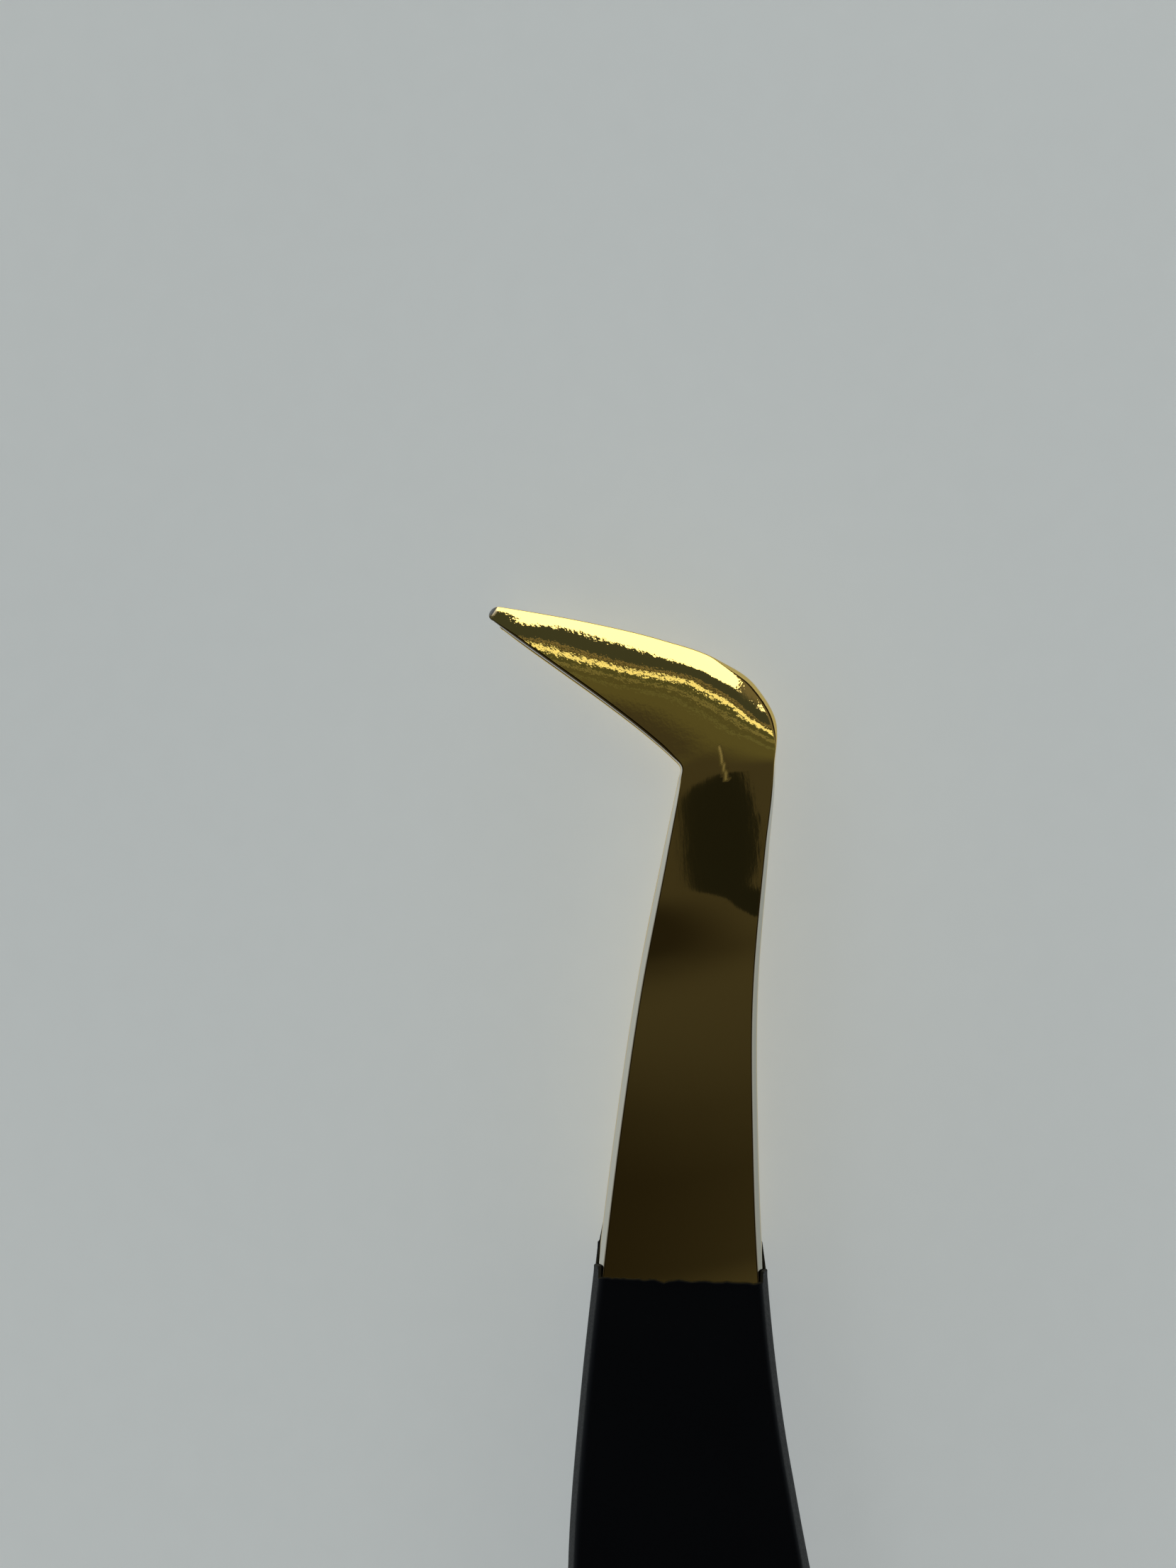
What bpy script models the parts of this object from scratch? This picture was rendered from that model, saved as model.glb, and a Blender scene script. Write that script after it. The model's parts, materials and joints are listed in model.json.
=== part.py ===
"""Boot-nosed stamp tongs: two sprung steel arms joined through a tail spacer, each with a black coat on its grip.

Metres, +Z up. The tongs lie on the flat grip of the lower arm. X runs from the tail to the points, Y runs
across the arms with the boot's point on the +Y side, and Z runs through both arms. The origin is at the
bottom centre of the box round the whole object. The two arms mirror each other about the middle plane.
"""

import math

import bmesh
import bpy
import numpy as np
from mathutils import Matrix, Vector

MM = 0.001

# Driving dimensions, in millimetres. X is measured from the tail end of the steel here.
SPACER_FRONT = 11.0  # the arms are joined to the spacer as far as this, and flex beyond it
SPACER_INSET = 0.3
CLOSING_ANGLE = 1.8  # degrees that each arm turns until the points meet
MEETING_GAP = 0.06  # what is left between each closed boot and the middle plane
BEVEL = 0.25  # how far each side leans in from the mating face to the outer face
TAIL_RADIUS = 1.6  # corner radius of the tail, in plan
COAT_GAP = 0.03  # clearance between steel and coat, as modelled
COAT_THICKNESS = 0.1
JOINT_GAP = 0.05  # clearance between the spacer and each arm
STEPS = 4  # stations between one rib and the next

# Ribs across one arm, from tail to point. Each gives the edge on the boot's side (x, y), the back edge (x, y),
# the thickness at the edges, the extra height of the domed outer face, and how much of BEVEL the sides lean.
RIBS = [
    ((0.0, 2.4), (0.0, -2.4), 1.0, 0.0, 1.0),
    ((12.0, 2.8), (12.0, -2.8), 1.0, 0.0, 1.0),
    ((30.0, 3.7), (30.0, -3.7), 1.05, 0.0, 1.0),
    ((50.0, 4.75), (50.0, -4.75), 1.3, 0.0, 1.0),
    ((66.0, 5.15), (66.0, -5.15), 1.3, 0.0, 1.0),
    ((76.0, 5.0), (76.0, -4.95), 1.3, 0.0, 1.0),
    ((84.8, 4.34), (84.2, -4.24), 1.3, 0.0, 1.0),
    ((90.4, 3.36), (89.8, -3.86), 1.25, 0.0, 1.0),
    ((95.1, 2.38), (94.3, -3.84), 1.2, 0.0, 1.0),
    ((100.3, 1.2), (99.8, -4.17), 1.15, 0.0, 1.0),
    ((105.5, -0.12), (105.0, -4.69), 1.1, 0.0, 1.0),
    ((110.5, -1.65), (110.2, -5.61), 1.05, 0.02, 0.9),
    ((113.15, -2.49), (113.3, -6.16), 0.95, 0.08, 0.55),
    ((113.63, -2.62), (115.0, -6.34), 0.82, 0.18, 0.4),
    ((114.05, -2.31), (116.3, -5.75), 0.7, 0.25, 0.4),
    ((115.0, -1.42), (117.45, -4.42), 0.56, 0.3, 0.4),
    ((116.4, 0.06), (118.42, -2.37), 0.46, 0.28, 0.4),
    ((117.85, 1.7), (119.22, -0.1), 0.38, 0.22, 0.4),
    ((119.05, 3.06), (119.83, 1.95), 0.32, 0.14, 0.4),
    ((119.72, 3.78), (120.22, 3.42), 0.26, 0.06, 0.3),
]
TIP = ((119.94, 3.93), (120.19, 3.78), 0.16, 0.02, 0.3)  # the last, blunt rib

# Height of the upper arm's mating face over the middle plane, with the tongs open: x, height and slope. The
# stretch with no slope is the flat grip, and the last stretch lies parallel to its partner once it closes.
OPENING_SLOPE = math.tan(math.radians(CLOSING_ANGLE))
TAIL_HEIGHT = 0.7
GRIP_HEIGHT = 3.9
GRIP_START = 44.0
GRIP_END = 74.0
NECK_START = 105.0
SPRING_MIDDLE = (24.0, 2.0, 0.13)


def opened(x):
    """Height of the boot's mating face, which lies flat on the middle plane when the tongs close."""
    return MEETING_GAP + (x - SPACER_FRONT) * OPENING_SLOPE


SIDE_PROFILE = [
    (0.0, TAIL_HEIGHT, 0.0),
    (SPACER_FRONT, TAIL_HEIGHT, 0.0),
    SPRING_MIDDLE,
    (GRIP_START, GRIP_HEIGHT, 0.0),
    (GRIP_END, GRIP_HEIGHT, 0.0),
    (NECK_START, opened(NECK_START), OPENING_SLOPE),
    (121.0, opened(121.0), OPENING_SLOPE),
]

# Where the coat ends. The line across the outer face follows a rib, and the mating face is coated further.
COAT_RIB = 8
COAT_EXTRA_STEPS = 2


def hermite(t, start, end, start_slope, end_slope):
    """Cubic from start to end as t goes from 0 to 1, with slopes given per unit of t."""
    rest = 1.0 - t
    return (
        (1.0 + 2.0 * t) * rest * rest * start
        + t * rest * rest * start_slope
        + t * t * (3.0 - 2.0 * t) * end
        - t * t * rest * end_slope
    )


def mating_height(x):
    """Height of the mating face over the middle plane at x."""
    x = max(x, 0.0)
    for (x0, h0, s0), (x1, h1, s1) in zip(SIDE_PROFILE, SIDE_PROFILE[1:]):
        if x <= x1:
            span = x1 - x0
            return hermite((x - x0) / span, h0, h1, s0 * span, s1 * span)
    return opened(x)


def rib_row(rib):
    """One rib as a row of numbers, so that ribs can be blended."""
    head, back, thickness, dome, lean = rib
    return np.array([*head, *back, thickness, dome, lean])


def round_tail(row):
    """Draws in both edges of a rib near the tail end, so that the tail's corners are arcs in plan."""
    short = TAIL_RADIUS - row[0]
    if short > 0.0:
        drawn_in = TAIL_RADIUS - math.sqrt(TAIL_RADIUS**2 - short**2)
        row = row.copy()
        row[1] -= drawn_in
        row[3] += drawn_in
    return row


def stations():
    """Rows all along one arm, on a smooth curve through the ribs, with the blunt point last."""
    rows = np.array([rib_row(rib) for rib in RIBS])
    middles = (rows[:, 0:2] + rows[:, 2:4]) / 2.0
    along = np.concatenate([[0.0], np.cumsum(np.linalg.norm(np.diff(middles, axis=0), axis=1))])
    slopes = np.gradient(rows, along, axis=0)
    found = []
    for k in range(len(rows) - 1):
        span = along[k + 1] - along[k]
        for step in range(STEPS):
            t = step / STEPS
            row = hermite(t, rows[k], rows[k + 1], slopes[k] * span, slopes[k + 1] * span)
            found.append(round_tail(row))
    tail_arc = [round_tail(tail_row(found, angle)) for angle in (20.0, 40.0, 60.0)]
    return [found[0], *tail_arc, *found[1:], rows[-1], rib_row(TIP)]


def tail_row(found, angle):
    """A row between the first two, at this angle along the tail's corner arc."""
    x = TAIL_RADIUS * (1.0 - math.cos(math.radians(angle)))
    share = x / found[1][0]
    whole = np.array(rib_row(RIBS[0]))
    return whole + share * (found[1] - whole)


def section(row, offset=0.0, dome_points=(0.25, 0.5, 0.75)):
    """Points round one station of the upper arm, from the mating face's boot-side edge over the outer face.

    offset moves every face outwards. dome_points are the places across the outer face that rise with the dome.
    """
    head, back, thickness, dome, lean = row[0:2], row[2:4], row[4], row[5], row[6] * BEVEL
    across = (back - head) / np.linalg.norm(back - head)
    flank = math.hypot(thickness, lean)
    low = offset * (lean + flank) / thickness
    high = lean + offset * (lean - flank) / thickness
    top_head, top_back = head + across * high, back - across * high
    top = thickness + offset
    plan = [(head - across * low, -offset), (top_head, top)]
    plan += [
        (top_head + share * (top_back - top_head), top + dome * 4.0 * share * (1.0 - share))
        for share in dome_points
    ]
    plan += [(top_back, top), (back + across * low, -offset)]
    return [(x, y, mating_height(x) + rise) for (x, y), rise in plan]


def new_object(name, mesh_builder, material):
    """Links a new object with the mesh that mesh_builder fills in, in millimetres."""
    mesh = bpy.data.meshes.new(name)
    bm = bmesh.new()
    mesh_builder(bm)
    bmesh.ops.scale(bm, vec=(MM, MM, MM), verts=bm.verts)
    bm.to_mesh(mesh)
    bm.free()
    obj = bpy.data.objects.new(name, mesh)
    bpy.context.scene.collection.objects.link(obj)
    obj.data.materials.append(material)
    return obj


def add_rings(bm, rings):
    """Vertices of each ring, in order."""
    return [[bm.verts.new(point) for point in ring] for ring in rings]


def build_arm(bm):
    """Closed loft of the steel arm, with flat ends at the tail and at the blunt point."""
    rings = add_rings(bm, [section(row) for row in stations()])
    count = len(rings[0])
    for ring, after in zip(rings, rings[1:]):
        for j in range(count):
            k = (j + 1) % count
            bm.faces.new((ring[j], ring[k], after[k], after[j]))
    bm.faces.new(reversed(rings[0]))
    bm.faces.new(rings[-1])


def build_coat_skin(bm):
    """Open skin over the grip, just clear of the steel. The joint with the spacer stays bare."""
    rows = stations()
    last = coat_station(rows)
    rings = add_rings(bm, [section(row, COAT_GAP, ()) for row in rows[: last + 1 + COAT_EXTRA_STEPS]])
    for vert in rings[0]:
        vert.co.x -= COAT_GAP
    mating_face = 3
    for i, (ring, after) in enumerate(zip(rings, rings[1:])):
        for j in range(4):
            bare_joint = j == mating_face and rows[i][0] < SPACER_FRONT
            past_the_line = j != mating_face and i >= last
            if not bare_joint and not past_the_line:
                k = (j + 1) % 4
                bm.faces.new((ring[j], ring[k], after[k], after[j]))
    bm.faces.new(reversed(rings[0]))
    loose = [vert for vert in bm.verts if not vert.link_faces]
    bmesh.ops.delete(bm, geom=loose, context="VERTS")


def coat_station(rows):
    """Index of the station where the coat ends on the outer face."""
    return int(np.argmin([abs(row[0] - RIBS[COAT_RIB][0][0]) for row in rows]))


def build_spacer(bm):
    """Flat plate between the two tails, with the tail's own outline drawn in a little."""
    rows = [row for row in stations() if SPACER_INSET < row[0] < SPACER_FRONT]
    front = rows[-1].copy()
    front[[0, 2]] = SPACER_FRONT
    outline = [row[0:2] - (0.0, SPACER_INSET) for row in [*rows, front]]
    outline += [row[2:4] + (0.0, SPACER_INSET) for row in reversed([*rows, front])]
    half = TAIL_HEIGHT - JOINT_GAP
    lower, upper = add_rings(bm, [[(x, y, z) for x, y in outline] for z in (-half, half)])
    bm.faces.new(lower)
    bm.faces.new(reversed(upper))
    for j in range(len(outline)):
        k = (j + 1) % len(outline)
        bm.faces.new((lower[k], lower[j], upper[j], upper[k]))


def add_thickness(obj):
    """Thickens a skin outwards into the coat's own wall."""
    solidify = obj.modifiers.new("coat wall", "SOLIDIFY")
    solidify.thickness = COAT_THICKNESS * MM
    solidify.offset = 1.0
    solidify.use_even_offset = True
    return obj


def mirrored(source, name, material):
    """The lower arm's copy of an upper piece, mirrored in the middle plane."""
    mesh = source.data.copy()
    mesh.name = name
    mesh.materials.clear()
    mesh.materials.append(material)
    bm = bmesh.new()
    bm.from_mesh(mesh)
    bmesh.ops.scale(bm, vec=(1.0, 1.0, -1.0), verts=bm.verts)
    bmesh.ops.reverse_faces(bm, faces=bm.faces)
    bm.to_mesh(mesh)
    bm.free()
    obj = bpy.data.objects.new(name, mesh)
    bpy.context.scene.collection.objects.link(obj)
    return obj


def principled(name, color, roughness, metallic):
    """A plain material in the piece's own colour."""
    material = bpy.data.materials.new(name)
    material.use_nodes = True
    shader = material.node_tree.nodes["Principled BSDF"]
    shader.inputs["Base Color"].default_value = (*color, 1.0)
    shader.inputs["Roughness"].default_value = roughness
    shader.inputs["Metallic"].default_value = metallic
    return material


def box_of(objects):
    """Lowest and highest corner of these objects as the viewport shows them."""
    depsgraph = bpy.context.evaluated_depsgraph_get()
    points = []
    for obj in objects:
        mesh = obj.evaluated_get(depsgraph).data
        points += [obj.matrix_world @ vert.co for vert in mesh.vertices]
    places = np.array(points)
    return places.min(axis=0), places.max(axis=0)


def place_on_joint(obj, joint, origin):
    """Puts the piece's own origin on its joint's axis, and the piece where it belongs from the part's origin."""
    obj.data.transform(Matrix.Translation(-joint))
    obj.location = joint - origin


def main():
    for obj in list(bpy.data.objects):
        bpy.data.objects.remove(obj, do_unlink=True)

    gold = principled("gold_plated_steel", (0.72, 0.55, 0.16), 0.15, 1.0)
    black = principled("black_coat", (0.012, 0.013, 0.016), 0.5, 0.0)
    steel = principled("spacer_steel", (0.45, 0.45, 0.46), 0.35, 1.0)

    upper_arm = new_object("upper_arm", build_arm, gold)
    upper_coat = add_thickness(new_object("upper_coat", build_coat_skin, black))
    lower_arm = mirrored(upper_arm, "lower_arm", gold)
    lower_coat = add_thickness(mirrored(upper_coat, "lower_coat", black))
    spacer = new_object("tail_spacer", build_spacer, steel)

    pieces = [upper_arm, upper_coat, lower_arm, lower_coat, spacer]
    bpy.context.view_layer.update()
    low, high = box_of(pieces)
    origin = Vector(((low[0] + high[0]) / 2.0, (low[1] + high[1]) / 2.0, low[2]))
    upper_joint = Vector((SPACER_FRONT, 0.0, TAIL_HEIGHT)) * MM
    lower_joint = Vector((SPACER_FRONT, 0.0, -TAIL_HEIGHT)) * MM
    joints = (upper_joint, upper_joint, lower_joint, lower_joint, upper_joint)
    for obj, joint in zip(pieces, joints):
        place_on_joint(obj, joint, origin)


main()
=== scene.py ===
"""Looks of the boot-nosed stamp tongs, laid out as a Blender add-on and run as a script.

Lengths inside the shape functions are millimetres in the steel's own axes: X from the tail end of the steel,
Y across with the boot's point on +Y, Z up from the middle plane. to_frame() gives the frame its metres.
"""

import json
import math

import bpy
import numpy as np
from mathutils import Matrix, Vector
from mathutils import noise as mathnoise


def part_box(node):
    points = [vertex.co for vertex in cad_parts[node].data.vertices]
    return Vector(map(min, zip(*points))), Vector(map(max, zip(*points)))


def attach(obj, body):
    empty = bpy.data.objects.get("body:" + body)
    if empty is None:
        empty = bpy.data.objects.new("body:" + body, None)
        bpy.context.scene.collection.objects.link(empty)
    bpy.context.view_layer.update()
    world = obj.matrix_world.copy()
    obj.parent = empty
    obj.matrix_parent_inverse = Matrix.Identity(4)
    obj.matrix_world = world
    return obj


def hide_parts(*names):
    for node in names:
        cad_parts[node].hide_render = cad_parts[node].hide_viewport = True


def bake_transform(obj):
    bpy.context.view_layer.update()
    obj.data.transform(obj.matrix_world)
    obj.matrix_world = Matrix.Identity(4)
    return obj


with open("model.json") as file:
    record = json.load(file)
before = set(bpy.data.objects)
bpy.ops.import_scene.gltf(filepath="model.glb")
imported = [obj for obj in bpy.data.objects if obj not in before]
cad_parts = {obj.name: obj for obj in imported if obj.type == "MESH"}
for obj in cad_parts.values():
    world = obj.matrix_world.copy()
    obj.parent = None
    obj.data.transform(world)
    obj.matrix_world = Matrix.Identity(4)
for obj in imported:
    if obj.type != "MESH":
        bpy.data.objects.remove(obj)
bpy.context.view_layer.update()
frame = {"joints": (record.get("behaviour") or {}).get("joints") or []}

bl_info = {
    "name": "Boot-nosed stamp tongs",
    "version": (1, 0, 0),
    "blender": (4, 5, 0),
    "location": "3D View > Sidebar > Tongs",
    "description": "Plated arms, powder coats and tail spacer of a pair of stamp tongs",
    "category": "Object",
}

MM = 0.001

# Ribs across one arm, from tail to point. Each gives the edge on the boot's side (x, y), the back edge
# (x, y), the thickness, and how far the two sides lean in towards the outer face.
RIBS = [
    ((0.0, 2.4), (0.0, -2.4), 1.0, 0.25),
    ((12.0, 2.8), (12.0, -2.8), 1.0, 0.25),
    ((30.0, 3.7), (30.0, -3.7), 1.05, 0.25),
    ((50.0, 4.75), (50.0, -4.75), 1.3, 0.25),
    ((66.0, 5.15), (66.0, -5.15), 1.3, 0.25),
    ((76.0, 5.0), (76.0, -4.95), 1.3, 0.25),
    ((84.8, 4.34), (84.2, -4.24), 1.3, 0.25),
    ((90.4, 3.36), (89.8, -3.86), 1.25, 0.25),
    ((95.1, 2.38), (94.3, -3.84), 1.2, 0.25),
    ((100.3, 1.2), (99.8, -4.17), 1.15, 0.24),
    ((105.5, -0.12), (105.0, -4.69), 1.1, 0.23),
    ((110.5, -1.65), (110.2, -5.61), 1.05, 0.18),
    ((113.15, -2.49), (113.3, -6.16), 1.022, 0.09),
    ((113.63, -2.62), (115.0, -6.34), 1.008, 0.04),
    ((114.05, -2.31), (116.3, -5.75), 0.97, 0.02),
    ((115.0, -1.42), (117.45, -4.42), 0.89, 0.01),
    ((116.4, 0.06), (118.42, -2.37), 0.8, 0.01),
    ((117.85, 1.7), (119.22, -0.1), 0.69, 0.01),
    ((119.05, 3.06), (119.83, 1.95), 0.56, 0.01),
    ((119.72, 3.78), (120.22, 3.42), 0.42, 0.01),
]
TIP = ((119.97, 3.93), (120.19, 3.78), 0.2, 0.01)  # the last, blunt rib
TAIL_RADIUS = 1.6  # corner radius of the tail, in plan
SPACER_FRONT = 11.0
SPACER_INSET = 0.3  # how far the spacer's sides lie inside the arms' sides
JOINT_GAP = 0.05  # between the spacer and each arm

# Height of the mating face over the middle plane: x, height and slope.
CLOSING_SLOPE = math.tan(math.radians(frame["joints"][0]["range_deg"][1]))
MEETING_GAP = 0.06  # what is left over the middle plane once the arm has closed
TAIL_HEIGHT = 0.7
NECK_START = 105.0


def opened(x):
    """Height of the boot's mating face, which lies flat on the middle plane when the tongs close."""
    return MEETING_GAP + (x - SPACER_FRONT) * CLOSING_SLOPE


SIDE_PROFILE = [
    (0.0, TAIL_HEIGHT, 0.0),
    (SPACER_FRONT, TAIL_HEIGHT, 0.0),
    (24.0, 2.0, 0.13),
    (44.0, 3.9, 0.0),
    (74.0, 3.9, 0.0),
    (NECK_START, opened(NECK_START), CLOSING_SLOPE),
    (121.0, opened(121.0), CLOSING_SLOPE),
]

# The ground face of the boot: its tilt in degrees, by distance from the boot's back edge. One row is for the
# heel, one for the middle of the boot and one near the point.
GROUND_PLACES = (0.0, 0.27, 0.46, 0.55, 0.8, 1.1, 1.3, 1.5, 2.2, 3.0, 3.6)
GROUND_TILTS = (
    (18.8, 16.0, 14.2, 13.2, 10.3, 8.0, 7.0, 6.1, 3.6, 1.3, 0.0),
    (17.0, 12.3, 11.7, 11.4, 10.6, 9.3, 8.5, 7.8, 5.0, 2.0, 0.0),
    (15.8, 11.5, 10.9, 10.6, 9.8, 8.6, 7.7, 7.0, 5.0, 2.0, 0.0),
)
GROUND_ROWS = (117.4, 118.9, 119.8)  # place of each row, measured along the back edge
GROUND_START = 113.3
GROUND_FULL = 116.9
GROUND_MOST = 0.72  # the grinding never takes more of the thickness than this share

INNER_EDGE = 0.05  # radius of the edges of the mating face
BOOT_EDGE = 0.08  # how much more the boot's inside edge is rounded than the other outer edges
BACK_EDGE = 0.025  # the same for the boot's back edge
HEEL_EDGE = 0.2  # and for the heel, where the grinding belt has rolled over the edge
# Along the arm, where those edges come in, and where the heel's goes out again.
BOOT_EDGE_IN = (113.3, 114.6)
HEEL_EDGE_IN = (113.9, 115.0)
HEEL_EDGE_OUT = (117.7, 116.9)
FACE_BORDER = 0.002  # the face's first and last columns, as shares of its width, keep it flat to its edges
CORNER_STEPS = 7
FLANK_CORNER_STEPS = 4  # an inner corner's steps that count as the flank's, not the mating face's
FLANK_STEPS = 4
FACE_STEPS = 40
MATING_STEPS = 6

STEEL_TAIL_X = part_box("upper_arm")[0].x
JOINT_PLACES = [Vector(joint["pos_m"]) for joint in frame["joints"]]
AXIS_Y = JOINT_PLACES[0].y
MIDDLE_Z = (JOINT_PLACES[0].z + JOINT_PLACES[1].z) / 2.0


def linear(hex_colour):
    """Linear RGBA of an sRGB hex colour."""
    channels = [int(hex_colour[i : i + 2], 16) / 255.0 for i in (1, 3, 5)]
    return (*[c / 12.92 if c <= 0.04045 else ((c + 0.055) / 1.055) ** 2.4 for c in channels], 1.0)


def to_frame(points, side):
    """Millimetres on the steel's axes to metres in the frame. side is 1 for the upper arm, or -1."""
    placed = np.array(points, float) * MM
    placed[..., 2] *= side
    return placed + np.array([STEEL_TAIL_X, AXIS_Y, MIDDLE_Z])


def hermite(t, start, end, start_slope, end_slope):
    """Cubic from start to end as t goes from 0 to 1, with slopes given per unit of t."""
    rest = 1.0 - t
    return (
        (1.0 + 2.0 * t) * rest * rest * start
        + t * rest * rest * start_slope
        + t * t * (3.0 - 2.0 * t) * end
        - t * t * rest * end_slope
    )


def smoothstep(value, start, end):
    """0 before start, 1 after end, and a smooth rise between them."""
    t = np.clip((np.asarray(value, float) - start) / (end - start), 0.0, 1.0)
    return t * t * (3.0 - 2.0 * t)


def mating_height(x):
    """Height of the mating face over the middle plane, for an array of places along the arm."""
    x = np.clip(x, 0.0, SIDE_PROFILE[-1][0])
    height = np.zeros_like(x)
    for (x0, h0, s0), (x1, h1, s1) in zip(SIDE_PROFILE, SIDE_PROFILE[1:]):
        here = (x >= x0) & (x <= x1)
        span = x1 - x0
        height[here] = hermite((x[here] - x0) / span, h0, h1, s0 * span, s1 * span)
    return height


def rib_row(rib):
    """One rib as a row of numbers, so that ribs can be blended."""
    head, back, thickness, lean = rib
    return np.array([*head, *back, thickness, lean])


GRIP_STEP = 0.5
NECK_STEP = 0.2
BOOT_STEP = 0.1


def stations():
    """Rows all along one arm on a smooth curve through the ribs, closer together towards the boot."""
    rows = np.array([rib_row(rib) for rib in RIBS])
    middles = (rows[:, 0:2] + rows[:, 2:4]) / 2.0
    along = np.concatenate([[0.0], np.cumsum(np.linalg.norm(np.diff(middles, axis=0), axis=1))])
    slopes = np.gradient(rows, along, axis=0)
    found = []
    for k in range(len(rows) - 1):
        span = along[k + 1] - along[k]
        step = BOOT_STEP if rows[k][0] > 110.0 else NECK_STEP if rows[k][0] > 90.0 else GRIP_STEP
        turned = np.linalg.norm(rows[k + 1][2:4] - rows[k][2:4])
        for t in np.arange(0.0, 1.0, step / max(span, turned)):
            found.append(hermite(t, rows[k], rows[k + 1], slopes[k] * span, slopes[k + 1] * span))
    tail = [found[0] + (found[1] - found[0]) * share for share in (0.0, 0.1, 0.25, 0.5)]
    return round_nose(round_tail(np.array([*tail, *found[1:], rows[-1]])))


def round_tail(rows):
    """Draws in both edges near the tail end, so that the tail's corners are arcs in plan."""
    short = np.clip(TAIL_RADIUS - rows[:, 0], 0.0, TAIL_RADIUS)
    drawn_in = TAIL_RADIUS - np.sqrt(TAIL_RADIUS**2 - short**2)
    rows = rows.copy()
    rows[:, 1] -= drawn_in
    rows[:, 3] += drawn_in
    return rows


def round_nose(rows):
    """Adds the blunt point, which closes in an arc in plan and in thickness."""
    last, tip = rows[-1], rib_row(TIP)
    nose = []
    for angle in (20.0, 40.0, 55.0, 68.0, 80.0):
        share = math.sin(math.radians(angle))
        keep = math.cos(math.radians(angle)) * 0.9 + 0.1
        middle = ((last[0:2] + last[2:4]) * (1.0 - share) + (tip[0:2] + tip[2:4]) * share) / 2.0
        half = (last[2:4] - last[0:2]) / 2.0 * keep
        nose.append([*(middle - half), *(middle + half), last[4] * (0.55 + 0.45 * keep), last[5] * keep])
    return np.array([*rows, *nose])


def distance_to(points, curve):
    """Distance in plan from each point to the nearest place on a polyline."""
    best = np.full(points.shape[:-1], 1e9)
    for start, end in zip(curve, curve[1:]):
        run = end - start
        length = run @ run
        if length > 1e-12:
            t = np.clip(((points - start) @ run) / length, 0.0, 1.0)
            best = np.minimum(best, np.linalg.norm(points - start - t[..., None] * run, axis=-1))
    return best


def ground_height(distance, tilts):
    """How far the ground face has risen at this distance from the back edge."""
    fine = np.linspace(0.0, GROUND_PLACES[-1], 400)
    slope = np.tan(np.radians(np.interp(fine, GROUND_PLACES, tilts)))
    rise = np.concatenate([[0.0], np.cumsum((slope[1:] + slope[:-1]) / 2.0 * np.diff(fine))])
    return np.interp(distance, fine, rise)


def ground_away(across_rib, rows):
    """How much the grinding takes off the outer face, which is most along the back edge of the boot.

    across_rib is how far each point is along its rib from the edge on the boot's side.
    """
    width = np.linalg.norm(rows[:, 2:4] - rows[:, 0:2], axis=1)[:, None]
    to_back = np.clip(width - across_rib, 0.0, None)
    share = smoothstep(rows[:, 2], GROUND_START, GROUND_FULL)[:, None]
    removed = [ground_height(width, tilts) - ground_height(to_back, tilts) for tilts in GROUND_TILTS]
    to_middle = smoothstep(rows[:, 2], GROUND_ROWS[0], GROUND_ROWS[1])[:, None]
    to_point = smoothstep(rows[:, 2], GROUND_ROWS[1], GROUND_ROWS[2])[:, None]
    off = removed[0] + (removed[1] - removed[0]) * to_middle
    off = off + (removed[2] - off) * to_point
    return np.minimum(share * off, GROUND_MOST * rows[:, None, 4])


def corner(steps):
    """Shares of a corner's radius, in from the side and in from the face, round from the side to the face."""
    angles = np.radians(np.linspace(0.0, 90.0, steps))
    return 1.0 - np.cos(angles), 1.0 - np.sin(angles)


def face_shares():
    """Where the columns of the outer face stand across it, closer together near its edges."""
    even = np.linspace(0.0, 1.0, FACE_STEPS + 2)[1:-1]
    crowded = (1.0 - np.cos(math.pi * even)) / 2.0
    return np.concatenate([[FACE_BORDER], 0.5 * crowded + 0.5 * even, [1.0 - FACE_BORDER]])


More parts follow.
